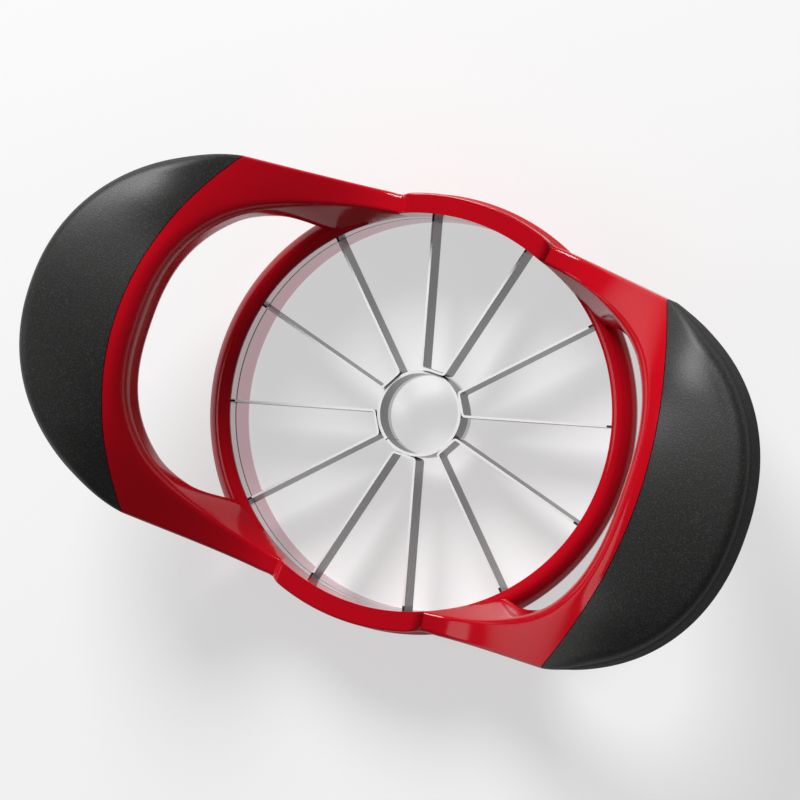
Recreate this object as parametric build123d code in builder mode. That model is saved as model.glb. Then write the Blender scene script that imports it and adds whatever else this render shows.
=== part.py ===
from build123d import *
import math
import os

# Twelve-blade apple slicer and corer. The ring of blades stands on the board, and two raised
# handles beside it are pushed down. X runs from handle to handle, Y across them and Z up.
# The origin is at the centre of the steel hoop, on the board. All lengths are millimetres.

# ---- steel hoop, in two bands --------------------------------------------------
bore_radius = 52.5         # inside of the hoop
hoop_wall = 0.8
hoop_height = 17.0
seam_depth = 5.2           # top of the hoop down to the seam between its bands
seam_chamfer = 0.15

# ---- blade strips: each is bent twice and makes two blades -----------------------
strip_count = 6
blade_wall = 0.6
blade_height = 9.8
grind_height = 1.2         # ground bevel of the cutting edge
edge_flat = 0.1            # width left at the cutting edge
fold_radius = 0.5          # inside of each bend
tab_height = 5.2           # tongue at each blade end that goes through the hoop
tab_reach = 1.4            # how far the tongue goes on into the frame
slot_clearance = 0.05

# ---- core ring -------------------------------------------------------------------
core_radius = 11.5         # outside
core_wall = 0.8
core_height = 11.3
core_drop = 0.6            # its top below the tops of the blades
core_chamfer = 0.3

# ---- moulded ring round the hoop ---------------------------------------------------
ring_radius = 58.7         # widest point
foot_radius = 54.4         # outside at the board
skirt_height = 14.0        # height at which the skirt reaches its widest point
rim_height = 17.2          # rim beside the hoop, which laps over the hoop's top edge
rim_crown = 0.8            # rise of the rim in its middle
rim_shoulder = 15.2        # where the rounded rim meets the outer wall

# ---- pads: flat raised stretches of the ring on its two long sides ------------------
pad_radius = 58.2
pad_half_length = 21.0
pad_height = 26.0
pad_round = 1.2

# ---- arms and handles: on each side one band that runs from pad to pad -------------------
# Its top lies on a saddle that rises from the ring to the handles and falls away from the X axis.
arm_start = 24.0           # X where the arms begin to rise
handle_start = 76.0        # X where they have reached the level of the handles
arch_half_width = 50.0     # Y at which the edge heights are given
crest_low = 26.5           # saddle at the ring, on the axis
edge_low = 24.5            # and at the edge
crest_high = 63.5          # saddle at the handles, on the axis
edge_high = 52.2           # and at the edge
band_depth = 12.0          # thickness of the band
root_level = 10.0          # height of its underside at the ring
# Outer edge in plan: a superellipse round the grip, then a straight arm.
half_length = 99.9         # X of the end of the grips
grip_centre = 44.4         # centre of the superellipse
grip_half_width = 51.0
grip_power = 2.17
grip_draft = 1.4           # the top of the grip's outer wall lies this far in
corner_x = 59.7            # X where the straight arm begins
arm_half_width = 53.4      # Y of the outer edge of the arms at the ring
root_x = 12.0              # the arms end here, inside the pads
# Inner edge in plan: a superellipse, from which the arm's wall leans in towards its foot.
ridge_half_length = 67.3
ridge_half_width = 49.3
ridge_power = 2.64
root_lean = 0.42           # lean of the wall at the ring, as a slope
# Cross sections stand at shares of the way from the end of the grip (0) to the root (1).
section_count = 10         # sections on each side of the one at the end of the grip
corner_share = 0.6         # the straight arm begins here
edge_turn = (0.45, 0.6)    # outer edge: from the grip's round and draft to the arm's
under_turn = (0.55, 0.75)  # underside: from the band's thickness down to the root's level
lean_turn = (0.42, 0.72)   # inner wall: from upright to leaning
ridge_turn = (0.4, 0.8)    # inner top edge: from the handle's round to the arm's
grip_round = 3.4           # outer top edge of the grips
arm_round = 1.3            # outer top edge of the arms
ridge_round = 3.6          # inner top edge of the handles
root_round = 0.9           # inner top edge of the arms
under_round = 2.0          # lower edges
least_round = 0.4          # least round of the tongue inside a grip

# ---- grips: soft skins moulded over a tongue of the frame -----------------------------
split_mid = 72.8           # X of the parting line on the axis
split_end = 58.9           # and at the edge of the handle
skin = 2.4                 # thickness of the rubber
tongue_share = 0.5         # share of the way round at which the tongue ends

# ---- derived ------------------------------------------------------------------------
hoop_radius = bore_radius + hoop_wall
seam_height = hoop_height - seam_depth
blade_pitch = 180 / strip_count
link_radius = core_radius + blade_wall / 2
fold_point = link_radius / math.cos(math.radians(blade_pitch / 2))
blade_foot = hoop_height - blade_height
core_top = hoop_height - core_drop
margin = 5
clear_height = crest_high + margin
pad_root = skirt_height * (pad_radius - foot_radius) / (ring_radius - foot_radius)


def superellipse(half_x, half_y, power, angle):
    """Point of a superellipse at a parameter angle."""
    c = math.cos(angle)
    s = math.sin(angle)
    x = half_x * math.copysign(abs(c) ** (2 / power), c)
    y = half_y * math.copysign(abs(s) ** (2 / power), s)
    return (x, y)


def ease(start, end, value):
    """Smooth rise from 0 at the start to 1 at the end."""
    share = min(max((value - start) / (end - start), 0.0), 1.0)
    return share * share * (3 - 2 * share)


def saddle_height(x, y):
    """Height of the band's top over a point of the plan."""
    rise = ease(arm_start, handle_start, x)
    crest = crest_low + (crest_high - crest_low) * rise
    edge = edge_low + (edge_high - edge_low) * rise
    return crest - (crest - edge) * (y / arch_half_width) ** 2


def outer_point(share):
    """Plan of the band's outer edge."""
    depth = half_length - grip_centre
    if abs(share) <= corner_share:
        corner = math.acos(((corner_x - grip_centre) / depth) ** (grip_power / 2))
        x, y = superellipse(depth, grip_half_width, grip_power, corner * share / corner_share)
        return Vector(grip_centre + x, y)
    corner_y = grip_half_width * (1 - ((corner_x - grip_centre) / depth) ** grip_power) ** (1 / grip_power)
    x = corner_x + (root_x - corner_x) * (abs(share) - corner_share) / (1 - corner_share)
    way = min((corner_x - x) / (corner_x - arm_start), 1.0)
    return Vector(x, math.copysign(corner_y + (arm_half_width - corner_y) * way, share))


def inner_point(share):
    """Plan of the band's inner top edge."""
    last = math.acos((root_x / ridge_half_length) ** (ridge_power / 2))
    return Vector(*superellipse(ridge_half_length, ridge_half_width, ridge_power, last * share))


def section_face(share, inset):
    """Rounded cross section of the band, drawn inset all round."""
    outer = outer_point(share)
    inner = inner_point(share)
    across = (inner - outer).normalized()
    arm = ease(*edge_turn, abs(share))
    root = ease(*under_turn, abs(share))
    ridge = ease(*ridge_turn, abs(share))
    draft = grip_draft * (1 - arm)
    start = draft + inset
    end = (inner - outer).length - inset

    def top(along):
        spot = outer + across * along
        return saddle_height(spot.X, spot.Y) - inset

    def under(along):
        return (top(along) + inset - band_depth) * (1 - root) + root_level * root + inset

    lean = root_lean * ease(*lean_turn, abs(share)) * (top(end) - under(end))
    corners = [(inset, under(start)), (start, top(start)), (end, top(end)), (end + lean, under(end))]
    rounds = [
        under_round, grip_round + (arm_round - grip_round) * arm,
        ridge_round + (root_round - ridge_round) * ridge, under_round,
    ]
    low_outer, top_outer, top_inner, low_inner = [Vector(*corner) for corner in corners]
    r_low, r_outer, r_inner, r_under = [max(radius - inset, least_round) for radius in rounds]
    up_outer = (top_outer - low_outer).normalized()
    up_inner = (top_inner - low_inner).normalized()
    floor = (low_inner - low_outer).normalized()
    rim_start = Vector(start + r_outer, top(start + r_outer))
    rim_end = Vector(end - r_inner, top(end - r_inner))
    middle = (rim_start + rim_end) / 2
    rim_control = Vector(middle.X, 2 * top(middle.X) - middle.Y)
    with BuildSketch(Plane(origin=outer, x_dir=across, z_dir=across.cross(Vector(0, 0, 1)))) as section:
        with BuildLine():
            Line(low_outer + up_outer * r_low, top_outer - up_outer * r_outer)
            Bezier(top_outer - up_outer * r_outer, top_outer, rim_start)
            Bezier(rim_start, rim_control, rim_end)
            Bezier(rim_end, top_inner, top_inner - up_inner * r_inner)
            Line(top_inner - up_inner * r_inner, low_inner + up_inner * r_under)
            Bezier(low_inner + up_inner * r_under, low_inner, low_inner - floor * r_under)
            Line(low_inner - floor * r_under, low_outer + floor * r_low)
            Bezier(low_outer + floor * r_low, low_outer, low_outer + up_outer * r_low)
        make_face()
    return section.sketch


with BuildPart() as band:
    loft([section_face(i / section_count, 0.0) for i in range(-section_count, section_count + 1)])

with BuildPart() as tongue:
    last = round(tongue_share * section_count)
    loft([section_face(i / section_count, skin) for i in range(-last, last + 1)])

# Space of the rubber: all beyond the curved parting line, less the tongue.
with BuildPart() as skin_space:
    with BuildSketch():
        with BuildLine():
            side = grip_half_width + margin
            corner = split_mid - (split_mid - split_end) * (side / grip_half_width) ** 2
            end = half_length + margin
            ThreePointArc((corner, -side), (split_mid, 0), (corner, side))
            Polyline((corner, side), (end, side), (end, -side), (corner, -side))
        make_face()
    extrude(amount=clear_height)
    add(tongue.part, mode=Mode.SUBTRACT)

with BuildPart() as right_grip:
    add(band.part)
    add(skin_space.part, mode=Mode.INTERSECT)

with BuildPart() as left_grip:
    mirror(right_grip.part, about=Plane.YZ)

with BuildPart() as ring:
    with BuildSketch(Plane.XZ):
        with BuildLine():
            crown_x = (bore_radius + ring_radius) / 2
            Polyline(
                (ring_radius, rim_shoulder), (ring_radius, skirt_height), (foot_radius, 0), (hoop_radius, 0),
                (hoop_radius, hoop_height), (bore_radius, hoop_height), (bore_radius, rim_height),
            )
            ThreePointArc(
                (bore_radius, rim_height), (crown_x, rim_height + rim_crown), (ring_radius, rim_shoulder)
            )
        make_face()
    revolve(axis=Axis.Z)

with BuildPart() as pads:
    with BuildSketch(Plane.XY.offset(pad_root)):
        Circle(pad_radius)
        Circle(bore_radius, mode=Mode.SUBTRACT)
        Rectangle(2 * pad_half_length, 3 * ring_radius, mode=Mode.INTERSECT)
    extrude(amount=pad_height - pad_root)
    fillet(pads.faces().group_by(Axis.Z)[-1].edges(), radius=pad_round)
    with BuildSketch():
        Circle(hoop_radius)
    extrude(amount=hoop_height, mode=Mode.SUBTRACT)

with BuildPart() as frame:
    add(band.part)
    add(skin_space.part, mode=Mode.SUBTRACT)
    with BuildSketch():
        Circle(bore_radius)
    extrude(amount=clear_height, mode=Mode.SUBTRACT)
    with BuildSketch():
        Circle(hoop_radius)
    extrude(amount=hoop_height, mode=Mode.SUBTRACT)
    mirror(about=Plane.YZ)
    add(pads.part)
    add(ring.part)
    with BuildSketch(Plane.XY.offset(seam_height - tab_height / 2)):
        with PolarLocations(hoop_radius, 2 * strip_count, start_angle=blade_pitch / 2):
            Rectangle(2 * tab_reach, blade_wall)
    extrude(amount=tab_height, mode=Mode.SUBTRACT)

# ---- blade strips ---------------------------------------------------------------------
with BuildPart() as strip:
    with BuildLine() as route:
        half_angle = blade_pitch / 2
        FilletPolyline(
            (Vector(bore_radius, 0).rotate(Axis.Z, -half_angle)),
            (Vector(fold_point, 0).rotate(Axis.Z, -half_angle)),
            (Vector(fold_point, 0).rotate(Axis.Z, half_angle)),
            (Vector(bore_radius, 0).rotate(Axis.Z, half_angle)),
            radius=fold_radius + blade_wall / 2,
        )
    start = Plane(origin=route.line @ 0, x_dir=(0, 0, 1), z_dir=route.line % 0)
    with BuildSketch(start):
        with BuildLine():
            Polyline(
                (hoop_height, blade_wall / 2), (blade_foot + grind_height, blade_wall / 2),
                (blade_foot, edge_flat / 2), (blade_foot, -edge_flat / 2),
                (blade_foot + grind_height, -blade_wall / 2), (hoop_height, -blade_wall / 2),
                close=True,
            )
        make_face()
    sweep(path=route.line)
    with BuildSketch(Plane.XY.offset(seam_height - tab_height / 2)):
        for turn in (-half_angle, half_angle):
            with PolarLocations(bore_radius, 1, start_angle=turn):
                Rectangle(hoop_wall + tab_reach, blade_wall, align=(Align.MIN, Align.CENTER))
    extrude(amount=tab_height)

with BuildPart() as core_ring:
    with BuildSketch(Plane.XY.offset(core_top - core_height)):
        Circle(core_radius)
        Circle(core_radius - core_wall, mode=Mode.SUBTRACT)
    extrude(amount=core_height)
    lower_edges = core_ring.edges().group_by(Axis.Z)[0].sort_by(SortBy.LENGTH)
    chamfer(lower_edges[0], length=core_chamfer)

# ---- hoop: two bands that hold the blade tongues between them ----------------------------
with BuildPart() as tab_slots:
    with BuildSketch(Plane.XY.offset(seam_height - tab_height / 2 - slot_clearance)):
        with PolarLocations(bore_radius, 2 * strip_count, start_angle=blade_pitch / 2):
            Rectangle(4 * hoop_wall, blade_wall + 2 * slot_clearance)
    extrude(amount=tab_height + 2 * slot_clearance)

os.makedirs("parts", exist_ok=True)
for name, low, high in (("lower_hoop", 0.0, seam_height), ("upper_hoop", seam_height, hoop_height)):
    with BuildPart() as hoop_band:
        with BuildSketch(Plane.XY.offset(low)):
            Circle(hoop_radius)
            Circle(bore_radius, mode=Mode.SUBTRACT)
        extrude(amount=high - low)
        inner_edges = hoop_band.edges().filter_by(GeomType.CIRCLE).group_by(SortBy.RADIUS)[0]
        chamfer(inner_edges.filter_by_position(Axis.Z, seam_height, seam_height), length=seam_chamfer)
        add(tab_slots.part, mode=Mode.SUBTRACT)
    hoop_band.part.label = name
    export_step(hoop_band.part, f"parts/{name}.step")

for number in range(strip_count):
    turned = Rot(0, 0, (2 * number + 1) * blade_pitch) * strip.part
    turned.label = f"blade_strip_{number + 1}"
    export_step(turned, f"parts/{turned.label}.step")

frame.part.label = "frame"
export_step(frame.part, "parts/frame.step")
right_grip.part.label = "right_grip"
export_step(right_grip.part, "parts/right_grip.step")
left_grip.part.label = "left_grip"
export_step(left_grip.part, "parts/left_grip.step")
core_ring.part.label = "core_ring"
export_step(core_ring.part, "parts/core_ring.step")
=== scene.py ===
import math
import bmesh
import bpy
from mathutils import Matrix, Vector


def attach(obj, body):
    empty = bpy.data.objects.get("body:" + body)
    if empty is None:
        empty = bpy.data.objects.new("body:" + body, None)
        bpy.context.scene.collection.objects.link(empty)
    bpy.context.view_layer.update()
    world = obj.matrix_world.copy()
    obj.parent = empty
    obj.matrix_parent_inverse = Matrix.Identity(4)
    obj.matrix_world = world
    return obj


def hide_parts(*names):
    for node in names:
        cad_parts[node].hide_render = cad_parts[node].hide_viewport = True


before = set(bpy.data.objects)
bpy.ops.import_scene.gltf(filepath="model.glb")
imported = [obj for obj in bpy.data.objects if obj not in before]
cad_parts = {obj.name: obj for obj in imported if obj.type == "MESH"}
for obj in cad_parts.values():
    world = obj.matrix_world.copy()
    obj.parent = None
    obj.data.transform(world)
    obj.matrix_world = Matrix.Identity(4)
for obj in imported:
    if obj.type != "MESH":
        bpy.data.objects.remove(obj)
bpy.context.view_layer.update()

mm = 0.001  # sizes are given in millimetres and built in metres
mergeDistance = 0.001 * mm
plainWhite = (1, 1, 1, 1)


def linearColour(code):
    # sRGB hex to the linear values that the shaders take
    channels = [int(code[i:i + 2], 16) / 255 for i in (1, 3, 5)]
    return [c / 12.92 if c <= 0.04045 else ((c + 0.055) / 1.055) ** 2.4 for c in channels] + [1.0]


def addNode(tree, kind, settings=None, values=None, links=None):
    # one node with its settings, its socket values and the sockets that feed it
    made = tree.nodes.new(kind)
    for key, value in (settings or {}).items():
        setattr(made, key, value)
    for key, value in (values or {}).items():
        made.inputs[key].default_value = value
    for key, source in (links or {}).items():
        tree.links.new(source, made.inputs[key])
    return made


def newMaterial(name):
    material = bpy.data.materials.new(name)
    material.use_nodes = True
    tree = material.node_tree
    tree.nodes.clear()
    output = addNode(tree, "ShaderNodeOutputMaterial")
    place = addNode(tree, "ShaderNodeTexCoord").outputs["Object"]
    return material, tree, output, place


def redAbs():
    # injection-moulded ABS, polished tool: a deep even red with sharp but slightly wavy gloss
    look = {"red": "#b80619", "deepRed": "#ad0516", "cloud": 14, "wave": 5, "waveHeight": 0.012, "waveStrength": 0.5,
            "roughness": 0.13, "ior": 1.39}
    material, tree, output, place = newMaterial("redGlossAbs")
    clouds = addNode(tree, "ShaderNodeTexNoise", {}, {"Scale": 1 / (look["cloud"] * mm), "Detail": 2.0},
                     {"Vector": place})
    tint = addNode(tree, "ShaderNodeMix", {"data_type": "RGBA"},
                   {6: linearColour(look["red"]), 7: linearColour(look["deepRed"])}, {0: clouds.outputs["Fac"]})
    waves = addNode(tree, "ShaderNodeTexNoise", {}, {"Scale": 1 / (look["wave"] * mm), "Detail": 1.0},
                    {"Vector": place})
    skin = addNode(tree, "ShaderNodeBump", {}, {"Strength": look["waveStrength"], "Distance": look["waveHeight"] * mm},
                   {"Height": waves.outputs["Fac"]})
    shader = addNode(tree, "ShaderNodeBsdfPrincipled", {}, {"Roughness": look["roughness"], "IOR": look["ior"]},
                     {"Base Color": tint.outputs[2], "Normal": skin.outputs["Normal"]})
    tree.links.new(shader.outputs[0], output.inputs["Surface"])
    return material


def softGrip():
    # thermoplastic elastomer, moulded on a spark-eroded tool: matt near-black with a dry grain, drawn coarser than
    # it is so that it shows, and duller down the walls, which so mirror nothing
    look = {"black": "#1d1d1d", "worn": "#242423", "speck": "#3a3a38", "speckFrom": 0.5, "speckFull": 0.75,
            "patch": 20, "grain": 0.42, "grainHeight": 0.045, "grainStrength": 0.8,
            "roughness": 0.46, "wallRoughness": 1.0, "ior": 1.44}
    material, tree, output, place = newMaterial("softTouchElastomer")
    patches = addNode(tree, "ShaderNodeTexNoise", {}, {"Scale": 1 / (look["patch"] * mm), "Detail": 2.0},
                      {"Vector": place})
    tint = addNode(tree, "ShaderNodeMix", {"data_type": "RGBA"},
                   {6: linearColour(look["black"]), 7: linearColour(look["worn"])}, {0: patches.outputs["Fac"]})
    grain = addNode(tree, "ShaderNodeTexNoise", {}, {"Scale": 1 / (look["grain"] * mm), "Detail": 2.0},
                    {"Vector": place})
    peaks = addNode(tree, "ShaderNodeMapRange", {}, {"From Min": look["speckFrom"], "From Max": look["speckFull"]},
                    {"Value": grain.outputs["Fac"]})
    tint = addNode(tree, "ShaderNodeMix", {"data_type": "RGBA"}, {7: linearColour(look["speck"])},
                   {0: peaks.outputs["Result"], 6: tint.outputs[2]})
    skin = addNode(tree, "ShaderNodeBump", {},
                   {"Strength": look["grainStrength"], "Distance": look["grainHeight"] * mm},
                   {"Height": grain.outputs["Fac"]})
    wall = addNode(tree, "ShaderNodeAttribute", {"attribute_name": "wall"})
    wear = addNode(tree, "ShaderNodeMapRange", {}, {"To Min": look["roughness"], "To Max": look["wallRoughness"]},
                   {"Value": wall.outputs["Fac"]})
    shader = addNode(tree, "ShaderNodeBsdfPrincipled", {}, {"IOR": look["ior"]},
                     {"Base Color": tint.outputs[2], "Normal": skin.outputs["Normal"],
                      "Roughness": wear.outputs["Result"]})
    tree.links.new(shader.outputs[0], output.inputs["Surface"])
    return material


def polishedStrip():
    # cold-rolled stainless strip, buffed inside: a soft sheen with faint rolling lines round the hoop; its pink tint is
    # a painted reflection of the red moulding round it, weaker on the upper band; a pale line runs along the edge that
    # stands on the board; and painted shade makes a dark line where the two bands meet and where the frame's lip lies
    # on them; all these lines are drawn wider than they are, to show
    look = {"steel": "#d2abb2", "upperSteel": "#cdbcbf", "edge": "#f3dde1", "gap": "#2a1a1d",
            "footLineReach": 0.5, "seam": 11.8, "seamReach": 0.45, "lip": 17.0, "lipReach": 0.5,
            "line": 0.25, "stretch": (0.02, 0.02, 1.0), "smoothest": 0.18, "roughest": 0.30}
    material, tree, output, place = newMaterial("brightRolledStainless")
    stretched = addNode(tree, "ShaderNodeMapping", {}, {"Scale": look["stretch"]}, {"Vector": place})
    lines = addNode(tree, "ShaderNodeTexNoise", {}, {"Scale": 1 / (look["line"] * mm), "Detail": 2.0},
                    {"Vector": stretched.outputs["Vector"]})
    wear = addNode(tree, "ShaderNodeMapRange", {}, {"To Min": look["smoothest"], "To Max": look["roughest"]},
                   {"Value": lines.outputs["Fac"]})
    height = addNode(tree, "ShaderNodeSeparateXYZ", {}, {}, {"Vector": place}).outputs["Z"]
    upper = addNode(tree, "ShaderNodeMath", {"operation": "GREATER_THAN"}, {1: look["seam"] * mm}, {0: height})
    # both steel tints hold a painted reflection of the red moulding, the upper one less
    tint = addNode(tree, "ShaderNodeMix", {"data_type": "RGBA"},
                   {6: linearColour(look["steel"]), 7: linearColour(look["upperSteel"])}, {0: upper.outputs[0]})
    # a pale line at the foot, then painted shade as dark lines at the seam and under the lip
    for colour, level, reach in (("edge", 0, look["footLineReach"]), ("gap", look["seam"], look["seamReach"]),
                                 ("gap", look["lip"], look["lipReach"])):
        near = addNode(tree, "ShaderNodeMath", {"operation": "COMPARE"}, {1: level * mm, 2: reach * mm}, {0: height})
        tint = addNode(tree, "ShaderNodeMix", {"data_type": "RGBA"}, {7: linearColour(look[colour])},
                       {0: near.outputs[0], 6: tint.outputs[2]})
    shader = addNode(tree, "ShaderNodeBsdfPrincipled", {}, {"Metallic": 1.0},
                     {"Base Color": tint.outputs[2], "Roughness": wear.outputs["Result"]})
    tree.links.new(shader.outputs[0], output.inputs["Surface"])
    return material


bladeShape = {"top": 17.0, "notchStart": 51.2}  # radius at which a blade runs into its notch in the hoop
coreShape = {"top": 16.4, "seamAngle": -123, "seamHalfWidth": 0.012}  # degrees round Z; the width is in radians


def groundStrip(name, top, seamAndNotchShadeAt):
    # stainless strip, ground along its length: satin faces with level lines, drawn wider than they are so that they
    # show, their dark colour a painted shade for the shadowed floor they mirror; a paler ground bevel low down; and a
    # sheared top edge, rougher and less metallic, whose pale colour is a painted highlight
    look = {"steel": "#5f5d5e", "edge": "#f2f2f2", "edgeDepth": 0.04, "edgeRoughness": 0.6, "edgeMetal": 0.3,
            "grind": "#c4c4c4", "grindBelow": 8.4, "seamAndNotchShade": "#242223",
            "line": 0.3, "stretch": (0.03, 0.03, 1.0), "smoothest": 0.20, "roughest": 0.36}
    material, tree, output, place = newMaterial(name)
    stretched = addNode(tree, "ShaderNodeMapping", {}, {"Scale": look["stretch"]}, {"Vector": place})
    lines = addNode(tree, "ShaderNodeTexNoise", {}, {"Scale": 1 / (look["line"] * mm), "Detail": 2.0},
                    {"Vector": stretched.outputs["Vector"]})
    wear = addNode(tree, "ShaderNodeMapRange", {}, {"To Min": look["smoothest"], "To Max": look["roughest"]},
                   {"Value": lines.outputs["Fac"]})
    axes = addNode(tree, "ShaderNodeSeparateXYZ", {}, {}, {"Vector": place}).outputs
    shearedEdgeAndHighlight = addNode(tree, "ShaderNodeMath", {"operation": "COMPARE"}, {1: top * mm, 2: look["edgeDepth"] * mm},
                      {0: axes["Z"]}).outputs[0]
    ground = addNode(tree, "ShaderNodeMath", {"operation": "LESS_THAN"}, {1: look["grindBelow"] * mm}, {0: axes["Z"]})
    # the dark face colour is painted shade; the pale edge colour mixed in below is a painted highlight on the sheared
    # top edge
    tint = addNode(tree, "ShaderNodeMix", {"data_type": "RGBA"},
                   {6: linearColour(look["steel"]), 7: linearColour(look["grind"])}, {0: ground.outputs[0]})
    # the dark colour mixed in second is painted shadow at the blade ends in their notches, and on the core its butt
    # seam
    for colour, share in (("edge", shearedEdgeAndHighlight), ("seamAndNotchShade", seamAndNotchShadeAt(tree, axes))):
        tint = addNode(tree, "ShaderNodeMix", {"data_type": "RGBA"}, {7: linearColour(look[colour])},
                       {0: share, 6: tint.outputs[2]})
    rough = addNode(tree, "ShaderNodeMix", {"data_type": "FLOAT"}, {3: look["edgeRoughness"]},
                    {0: shearedEdgeAndHighlight, 2: wear.outputs["Result"]})
    metal = addNode(tree, "ShaderNodeMath", {"operation": "MULTIPLY_ADD"}, {1: look["edgeMetal"] - 1, 2: 1.0},
                    {0: shearedEdgeAndHighlight})
    shader = addNode(tree, "ShaderNodeBsdfPrincipled", {}, {},
                     {"Base Color": tint.outputs[2], "Roughness": rough.outputs[0], "Metallic": metal.outputs[0]})
    tree.links.new(shader.outputs[0], output.inputs["Surface"])
    return material


def notchShadow(tree, axes):
    # painted shadow on the end of each blade, inside its notch in the hoop
    squares = [addNode(tree, "ShaderNodeMath", {"operation": "MULTIPLY"}, {}, {0: axes[axis], 1: axes[axis]}).outputs[0]
               for axis in ("X", "Y")]
    total = addNode(tree, "ShaderNodeMath", {"operation": "ADD"}, {}, {0: squares[0], 1: squares[1]})
    return addNode(tree, "ShaderNodeMath", {"operation": "GREATER_THAN"}, {1: (bladeShape["notchStart"] * mm) ** 2},
                   {0: total.outputs[0]}).outputs[0]


def buttSeam(tree, axes):
    # the line where the ends of the core's strip meet
    angle = addNode(tree, "ShaderNodeMath", {"operation": "ARCTAN2"}, {}, {0: axes["Y"], 1: axes["X"]})
    return addNode(tree, "ShaderNodeMath", {"operation": "COMPARE"},
                   {1: math.radians(coreShape["seamAngle"]), 2: coreShape["seamHalfWidth"]},
                   {0: angle.outputs[0]}).outputs[0]


# the moulded frame and its two grips, in millimetres
hoopSeat = {"bore": 52.5, "seat": 53.3, "seatTop": 17.0}
boreCutter = {"axisGap": 0.01, "below": -1, "above": 70}
ringShape = {"widest": 58.7, "foot": 54.4, "skirt": 14.0, "shoulder": 15.2, "lip": 17.2, "crown": 0.8,
             "crownSteps": 14, "turnSteps": 240}
padShape = {"radius": 57.9, "end": 19.2, "riser": 2.4, "height": 26.0, "round": 0.7, "foot": 13.0,
            "lead": 1.0, "blend": 6.5}
bandShape = {"armStart": 24.0, "handleStart": 76.0,  # X between which the saddle rises
             "archHalfWidth": 50.0, "crestLow": 26.5, "edgeLow": 24.5, "crestHigh": 63.5, "edgeHigh": 52.2,
             "depth": 12.0, "rootLevel": 10.0,
             "halfLength": 99.9, "gripCentre": 44.4, "gripHalfWidth": 51.0, "gripPower": 2.17, "gripDraft": 1.4,
             "cornerX": 59.7, "cornerShare": 0.6, "armHalfWidth": 53.4, "rootX": 12.0,
             "ridgeHalfLength": 67.3, "ridgeHalfWidth": 49.3, "ridgePower": 2.64, "rootLean": 0.42,
             "edgeTurn": (0.45, 0.6), "underTurn": (0.55, 0.75), "leanTurn": (0.42, 0.72), "ridgeTurn": (0.4, 0.8),
             "gripRound": 3.4, "armRound": 1.3, "ridgeRound": 3.6, "rootRound": 0.9, "underRound": 2.0}
bandSteps = {"handle": 75, "riser": 10, "pad": 18,  # stations on one side
             "outerWall": 6, "outerRound": 9, "top": 16, "innerRound": 9, "innerWall": 8, "footRound": 5, "under": 8}
parting = {"middle": 72.8, "end": 58.9, "groove": 0.22, "steps": 64}
gripWall = {"upright": 0.25, "level": 0.6}  # upward parts of the normal between which the grain turns fine
shell = {"merge": 0.004, "sliver": 0.002, "sharpAngle": 32}


def ease(start, end, value):
    # smooth step from 0 at the start to 1 at the end
    share = min(max((value - start) / (end - start), 0.0), 1.0)
    return share * share * (3 - 2 * share)


def superellipse(halfX, halfY, power, angle):
    c, s = math.cos(angle), math.sin(angle)
    return Vector((halfX * math.copysign(abs(c) ** (2 / power), c), halfY * math.copysign(abs(s) ** (2 / power), s)))


def saddleHeight(spot):
    # top of the band over a spot in plan: it rises along X to the handles and falls away to both sides
    band = bandShape
    rise = ease(band["armStart"], band["handleStart"], spot.x)
    crest = band["crestLow"] + (band["crestHigh"] - band["crestLow"]) * rise
    edge = band["edgeLow"] + (band["edgeHigh"] - band["edgeLow"]) * rise
    return crest - (crest - edge) * (spot.y / band["archHalfWidth"]) ** 2


def shareAt(x):
    # share of the way from the end of the grip at which the arm's outer edge reaches x
    band = bandShape
    return band["cornerShare"] + (1 - band["cornerShare"]) * (band["cornerX"] - x) / (band["cornerX"] - band["rootX"])


def armX(share):
    # the other way round: x of the arm's outer edge at a share
    band = bandShape
    past = abs(share) - band["cornerShare"]
    return band["cornerX"] + (band["rootX"] - band["cornerX"]) * past / (1 - band["cornerShare"])


def outerPoint(share):
    # plan of the outer edge: a superellipse round the grip, then the arm, which runs out into the pad's arc
    band, pad = bandShape, padShape
    depth = band["halfLength"] - band["gripCentre"]
    reach = (band["cornerX"] - band["gripCentre"]) / depth
    if abs(share) <= band["cornerShare"]:
        corner = math.acos(reach ** (band["gripPower"] / 2))
        spot = superellipse(depth, band["gripHalfWidth"], band["gripPower"], corner * share / band["cornerShare"])
        return spot + Vector((band["gripCentre"], 0))
    cornerY = band["gripHalfWidth"] * (1 - reach ** band["gripPower"]) ** (1 / band["gripPower"])
    x = armX(share)
    way = min((band["cornerX"] - x) / (band["cornerX"] - band["armStart"]), 1.0)
    y = cornerY + (band["armHalfWidth"] - cornerY) * way
    padY = math.sqrt(pad["radius"] ** 2 - min(x, pad["radius"]) ** 2)
    y += (padY - y) * (1 - ease(pad["end"] - pad["lead"], pad["end"] + pad["blend"], x))
    return Vector((x, math.copysign(y, share)))


def innerPoint(share):
    # plan of the inner top edge: a superellipse, stepped by its angle round the handle and by X along the pad
    band = bandShape
    halfX, halfY, power = band["ridgeHalfLength"], band["ridgeHalfWidth"], band["ridgePower"]
    last = math.acos((band["rootX"] / halfX) ** (power / 2))
    armEnd = shareAt(band["armStart"])
    spot = superellipse(halfX, halfY, power, last * min(max(share, -armEnd), armEnd))
    if abs(share) > armEnd:
        x = spot.x * armX(share) / band["armStart"]
        spot = Vector((x, math.copysign(halfY * (1 - (abs(x) / halfX) ** power) ** (1 / power), share)))
    return spot


def padRise(x):
    # 1 on the pad, then down to the arm, level at first and steepest at its foot
    way = (x - padShape["end"]) / padShape["riser"]
    return 1.0 if way <= 0 else max(1 - way * way, 0.0)


def curved(first, control, last, steps):
    # quadratic curve without its last point
    ways = [i / steps for i in range(steps)]
    return [first * (1 - way) ** 2 + control * 2 * way * (1 - way) + last * way ** 2 for way in ways]


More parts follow.
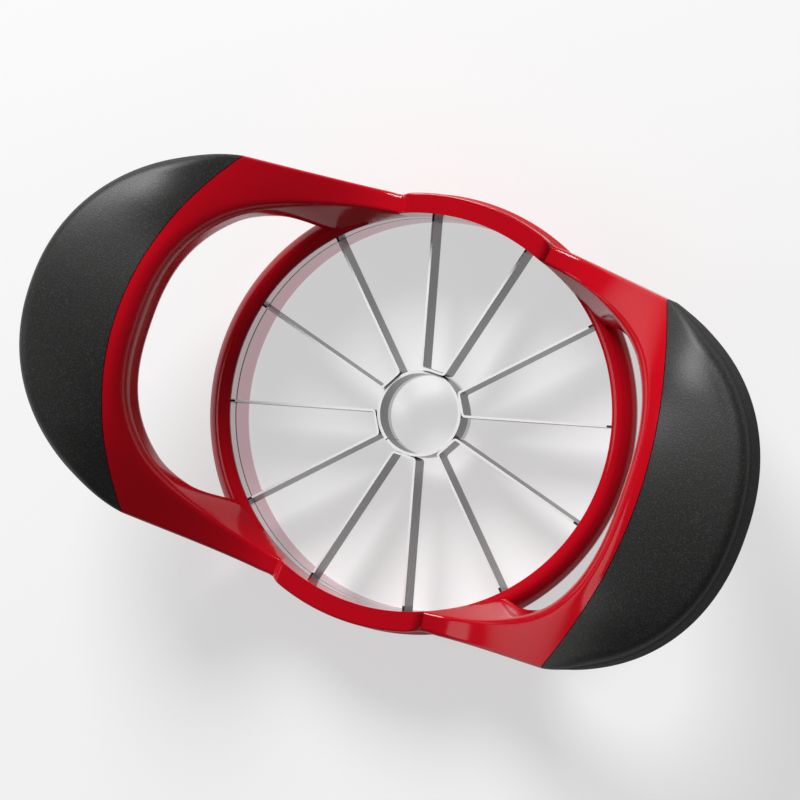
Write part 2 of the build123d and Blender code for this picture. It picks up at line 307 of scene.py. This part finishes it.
def bandSection(share):
    # rounded cross section of the band, as points round it
    band, pad, steps = bandShape, padShape, bandSteps
    outer, inner = outerPoint(share), innerPoint(share)
    across = (inner - outer).normalized()
    arm = ease(*band["edgeTurn"], abs(share))
    root = ease(*band["underTurn"], abs(share))
    onPad = padRise(outer.x)
    start = band["gripDraft"] * (1 - arm)
    end = (inner - outer).length

    def top(along):
        height = saddleHeight(outer + across * along)
        return height + (pad["height"] - height) * onPad

    def under(along):
        armUnder = (saddleHeight(outer + across * along) - band["depth"]) * (1 - root) + band["rootLevel"] * root
        return armUnder + (pad["foot"] - armUnder) * (1 - ease(pad["end"], pad["end"] + pad["blend"], outer.x))

    lean = band["rootLean"] * ease(*band["leanTurn"], abs(share)) * (top(end) - under(end))
    lowOuter, topOuter = Vector((0, under(start))), Vector((start, top(start)))
    topInner, lowInner = Vector((end, top(end))), Vector((end + lean, under(end)))
    outerRound = band["gripRound"] + (band["armRound"] - band["gripRound"]) * arm
    outerRound += (pad["round"] - outerRound) * onPad
    innerRound = band["ridgeRound"] + (band["rootRound"] - band["ridgeRound"]) * ease(*band["ridgeTurn"], abs(share))
    lowRound = band["underRound"]
    upOuter, upInner = (topOuter - lowOuter).normalized(), (topInner - lowInner).normalized()
    level = (lowInner - lowOuter).normalized()
    rimStart = Vector((start + outerRound, top(start + outerRound)))
    rimEnd = Vector((end - innerRound, top(end - innerRound)))
    middle = (rimStart + rimEnd) / 2
    rimControl = Vector((middle.x, 2 * top(middle.x) - middle.y))
    wallTop, wallFoot = topOuter - upOuter * outerRound, lowOuter + upOuter * lowRound
    innerTop, innerFoot = topInner - upInner * innerRound, lowInner + upInner * lowRound
    underInner, underOuter = lowInner - level * lowRound, lowOuter + level * lowRound
    flat = (curved(wallFoot, (wallFoot + wallTop) / 2, wallTop, steps["outerWall"])
            + curved(wallTop, topOuter, rimStart, steps["outerRound"])
            + curved(rimStart, rimControl, rimEnd, steps["top"])
            + curved(rimEnd, topInner, innerTop, steps["innerRound"])
            + curved(innerTop, (innerTop + innerFoot) / 2, innerFoot, steps["innerWall"])
            + curved(innerFoot, lowInner, underInner, steps["footRound"])
            + curved(underInner, (lowInner + lowOuter) / 2, underOuter, steps["under"])
            + curved(underOuter, lowOuter, wallFoot, steps["footRound"]))
    return [Vector((outer.x + across.x * spot.x, outer.y + across.y * spot.x, spot.y)) for spot in flat]


def bandStations():
    # shares from the root on one side, round the grip, to the root on the other; close together on the pad's riser
    steps = bandSteps
    armEnd, padEnd = shareAt(padShape["end"] + padShape["riser"]), shareAt(padShape["end"])
    centre = shareAt(0.0)
    half = [armEnd * i / steps["handle"] for i in range(steps["handle"])]
    for i in range(steps["riser"]):
        half.append(armEnd + (padEnd - armEnd) * (1 - math.cos(math.pi / 2 * i / steps["riser"])))
    half += [padEnd + (centre - padEnd) * i / steps["pad"] for i in range(steps["pad"] + 1)]
    return [-share for share in reversed(half[1:])] + half


def newPiece(name, mesh):
    data = bpy.data.meshes.new(name)
    mesh.to_mesh(data)
    mesh.free()
    piece = bpy.data.objects.new(name, data)
    bpy.context.collection.objects.link(piece)
    return piece


def wrapBand():
    # a flat grid laid round the sections of one half, then mirrored to the other
    sections = [bandSection(share) for share in bandStations()]
    along, around = len(sections) - 1, len(sections[0])
    mesh = bmesh.new()
    bmesh.ops.create_grid(mesh, x_segments=along, y_segments=around, size=0.5)
    for vert in mesh.verts:
        station = round((vert.co.x + 0.5) * along)
        step = round((vert.co.y + 0.5) * around)
        vert.co = sections[station][step % around] * mm
    bmesh.ops.mirror(mesh, geom=mesh.verts[:] + mesh.edges[:] + mesh.faces[:], axis="X", merge_dist=mergeDistance)
    bmesh.ops.remove_doubles(mesh, verts=mesh.verts, dist=mergeDistance)
    bmesh.ops.recalc_face_normals(mesh, faces=mesh.faces)
    return newPiece("band", mesh)


def turned(name, profile, steps):
    # closed profile of (radius, height) spun once round Z
    mesh = bmesh.new()
    corners = [mesh.verts.new((radius * mm, 0, height * mm)) for radius, height in profile]
    edges = [mesh.edges.new((corners[i - 1], corners[i])) for i in range(len(corners))]
    bmesh.ops.spin(mesh, geom=corners + edges, cent=(0, 0, 0), axis=(0, 0, 1), angle=2 * math.pi, steps=steps,
                   use_merge=True)
    bmesh.ops.remove_doubles(mesh, verts=mesh.verts, dist=mergeDistance)
    bmesh.ops.recalc_face_normals(mesh, faces=mesh.faces)
    return newPiece(name, mesh)


def gripZone(side, gap):
    # cutter: all that lies beyond the curved parting line on one side
    halfWidth, reach, height, below = 60.0, 110.0, 75.0, -1.0
    mesh = bmesh.new()
    rim = []
    for i in range(parting["steps"] + 1):
        y = halfWidth * (2 * i / parting["steps"] - 1)
        x = parting["middle"] + gap - (parting["middle"] - parting["end"]) * (y / bandShape["gripHalfWidth"]) ** 2
        rim.append(mesh.verts.new((side * x * mm, y * mm, below * mm)))
    rim += [mesh.verts.new((side * reach * mm, y * mm, below * mm)) for y in (halfWidth, -halfWidth)]
    lifted = bmesh.ops.extrude_face_region(mesh, geom=[mesh.faces.new(rim)])["geom"]
    raised = [item for item in lifted if isinstance(item, bmesh.types.BMVert)]
    bmesh.ops.translate(mesh, verts=raised, vec=(0, 0, height * mm))
    bmesh.ops.recalc_face_normals(mesh, faces=mesh.faces)
    return newPiece("gripZone", mesh)


def cut(piece, cutter, operation):
    # Boolean with a cutter that is then thrown away
    change = piece.modifiers.new("cut", "BOOLEAN")
    change.operation = operation
    change.solver = "EXACT"
    change.object = cutter
    result = bpy.data.meshes.new_from_object(piece.evaluated_get(bpy.context.evaluated_depsgraph_get()))
    piece.modifiers.remove(change)
    piece.data = result
    bpy.data.objects.remove(cutter)


def smoothShell(piece):
    # clears the slivers that the cuts leave, then shades smooth up to the sharp edges
    mesh = bmesh.new()
    mesh.from_mesh(piece.data)
    bmesh.ops.remove_doubles(mesh, verts=mesh.verts, dist=shell["merge"] * mm)
    bmesh.ops.dissolve_degenerate(mesh, edges=mesh.edges, dist=shell["sliver"] * mm)
    mesh.to_mesh(piece.data)
    mesh.free()
    piece.data.shade_smooth()
    piece.data.set_sharp_from_angle(angle=math.radians(shell["sharpAngle"]))


def markWalls(piece):
    # attribute "wall": 1 where the surface stands upright, 0 where it faces up or down
    marks = piece.data.attributes.new("wall", "FLOAT", "POINT")
    for vert in piece.data.vertices:
        marks.data[vert.index].value = 1 - ease(gripWall["upright"], gripWall["level"], abs(vert.normal.z))


def finishPiece(piece, name, node, material):
    piece.name = name
    piece.data.name = name
    piece.data.materials.clear()
    piece.data.materials.append(material)
    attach(piece, "root")
    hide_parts(node)


redPlastic, rubber = redAbs(), softGrip()
band = wrapBand()
print("band wrapped")

halfGroove = parting["groove"] / 2
for side, name, node in ((1, "rubberGripRight", "right_grip"), (-1, "rubberGripLeft", "left_grip")):
    grip = bpy.data.objects.new(node, band.data.copy())
    bpy.context.collection.objects.link(grip)
    cut(grip, gripZone(side, halfGroove), "INTERSECT")
    cut(band, gripZone(side, -halfGroove), "DIFFERENCE")
    smoothShell(grip)
    markWalls(grip)
    finishPiece(grip, name, node, rubber)
print("grips cut")

seat, cutter, ring = hoopSeat, boreCutter, ringShape
boreCut = turned("boreCut", [(cutter["axisGap"], cutter["below"]), (seat["seat"], cutter["below"]),
                             (seat["seat"], seat["seatTop"]), (seat["bore"], seat["seatTop"]),
                             (seat["bore"], cutter["above"]), (cutter["axisGap"], cutter["above"])], ring["turnSteps"])
cut(band, boreCut, "DIFFERENCE")

crown = []  # the rounded rim from the bore out to the shoulder
for i in range(1, ring["crownSteps"]):
    way = i / ring["crownSteps"]
    radius = seat["bore"] + (ring["widest"] - seat["bore"]) * way
    level = ring["lip"] + (ring["shoulder"] - ring["lip"]) * way
    bulge = ring["crown"] + (ring["lip"] - ring["shoulder"]) / 2
    crown.append((radius, level + 4 * way * (1 - way) * bulge))
moulded = turned("ring", [(ring["widest"], ring["shoulder"]), (ring["widest"], ring["skirt"]), (ring["foot"], 0),
                          (seat["seat"], 0), (seat["seat"], seat["seatTop"]), (seat["bore"], seat["seatTop"]),
                          (seat["bore"], ring["lip"])] + crown, ring["turnSteps"])
cut(band, moulded, "UNION")
smoothShell(band)
finishPiece(band, "mouldedFrame", "frame", redPlastic)
print("frame done", len(band.data.polygons), "faces")

hoopSteel = polishedStrip()
bladeSteel = groundStrip("fineGroundStainless", bladeShape["top"], notchShadow)
finishes = {"frame": redPlastic, "left_grip": rubber, "right_grip": rubber, "upper_hoop": hoopSteel,
            "lower_hoop": hoopSteel, "core_ring": groundStrip("groundCoreStainless", coreShape["top"], buttSeam)}
for name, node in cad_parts.items():
    node.data.materials.clear()
    node.data.materials.append(finishes.get(name, bladeSteel))
print("materials done")

# floor, light and camera
studio = {"floorSize": 6.0, "floorDrop": 0.1, "floorColour": "#f0f0f0", "floorRoughness": 0.7,
          "floorLift": 0.60, "liftStrength": 0.93,
          "keyPlace": (-0.62, 0.98, 0.95), "keySize": 0.7, "keyPower": 27,
          "fillPlace": (-1.3, -0.5, 0.9), "fillSize": 0.8, "fillPower": 3,
          "room": 0.20, "ceiling": 0.05, "ceilingStart": -0.05, "ceilingEnd": 0.12}
view = {"lens": 162, "sensor": 36, "place": (0.24917, 0.03857, 0.93819), "across": (0.90857, 0.32330, -0.26454),
        "upward": (-0.32154, 0.94551, 0.05121), "back": (0.26668, 0.03853, 0.96301)}


def paleFloor():
    # uncoated white paper: an even pale ground without gloss
    bpy.ops.mesh.primitive_plane_add(size=studio["floorSize"], location=(0, 0, -studio["floorDrop"] * mm))
    floor = bpy.context.object
    floor.name = "floor"
    material, tree, output = newMaterial("paleFloor")[:3]
    shader = addNode(tree, "ShaderNodeBsdfPrincipled", {},
                     {"Base Color": linearColour(studio["floorColour"]), "Roughness": studio["floorRoughness"]})
    # seen directly or mirrored, the paper glows a little, which keeps its shadows pale; the object isn't lit by that
    path = addNode(tree, "ShaderNodeLightPath").outputs
    looked = addNode(tree, "ShaderNodeMath", {"operation": "MAXIMUM"}, {},
                     {0: path["Is Camera Ray"], 1: path["Is Glossy Ray"]})
    share = addNode(tree, "ShaderNodeMath", {"operation": "MULTIPLY"}, {1: studio["floorLift"]}, {0: looked.outputs[0]})
    glow = addNode(tree, "ShaderNodeEmission", {}, {"Color": plainWhite, "Strength": studio["liftStrength"]})
    both = addNode(tree, "ShaderNodeMixShader", {}, {}, {0: share.outputs[0], 1: shader.outputs[0], 2: glow.outputs[0]})
    tree.links.new(both.outputs[0], output.inputs["Surface"])
    floor.data.materials.append(material)
    return floor


def areaLight(name, place, size, power):
    # a round lamp that points at the object
    data = bpy.data.lights.new(name, "AREA")
    data.shape = "DISK"
    data.size = size
    data.energy = power
    lamp = bpy.data.objects.new(name, data)
    bpy.context.collection.objects.link(lamp)
    lamp.location = place
    lamp.rotation_mode = "QUATERNION"
    lamp.rotation_quaternion = (-Vector(place)).to_track_quat("-Z", "Y")


def studioWorld():
    # even light on the object; a white room all round for the eye and in reflections, with a dim ceiling over it
    world = bpy.data.worlds.new("studio")
    bpy.context.scene.world = world
    world.use_nodes = True
    tree = world.node_tree
    tree.nodes.clear()
    path = addNode(tree, "ShaderNodeLightPath").outputs
    way = addNode(tree, "ShaderNodeTexCoord").outputs["Generated"]
    height = addNode(tree, "ShaderNodeSeparateXYZ", {}, {}, {"Vector": way}).outputs["Z"]
    ceiling = addNode(tree, "ShaderNodeMapRange", {"interpolation_type": "SMOOTHSTEP"},
                      {"From Min": studio["ceilingStart"], "From Max": studio["ceilingEnd"], "To Min": 1.0,
                       "To Max": studio["ceiling"]}, {"Value": height})
    mirrored = addNode(tree, "ShaderNodeMath", {"operation": "MAXIMUM"}, {},
                       {0: path["Is Glossy Ray"], 1: path["Is Transmission Ray"]})
    light = addNode(tree, "ShaderNodeBackground", {}, {"Color": plainWhite, "Strength": studio["room"]})
    room = addNode(tree, "ShaderNodeBackground", {}, {"Color": plainWhite}, {"Strength": ceiling.outputs["Result"]})
    backdrop = addNode(tree, "ShaderNodeBackground", {}, {"Color": plainWhite, "Strength": 1.0})
    reflected = addNode(tree, "ShaderNodeMixShader", {}, {},
                        {0: mirrored.outputs[0], 1: light.outputs[0], 2: room.outputs[0]})
    seen = addNode(tree, "ShaderNodeMixShader", {}, {},
                   {0: path["Is Camera Ray"], 1: reflected.outputs[0], 2: backdrop.outputs[0]})
    addNode(tree, "ShaderNodeOutputWorld", {}, {}, {"Surface": seen.outputs[0]})


floor = paleFloor()
areaLight("key", studio["keyPlace"], studio["keySize"], studio["keyPower"])
areaLight("fill", studio["fillPlace"], studio["fillSize"], studio["fillPower"])
studioWorld()

cameraData = bpy.data.cameras.new("camera")
cameraData.lens = view["lens"]
cameraData.sensor_width = view["sensor"]
camera = bpy.data.objects.new("camera", cameraData)
bpy.context.collection.objects.link(camera)
turn = Matrix((view["across"], view["upward"], view["back"])).transposed().to_4x4()
camera.matrix_world = Matrix.Translation(view["place"]) @ turn
bpy.context.scene.camera = camera
bpy.context.scene.view_settings.view_transform = "Standard"
print("stage done")
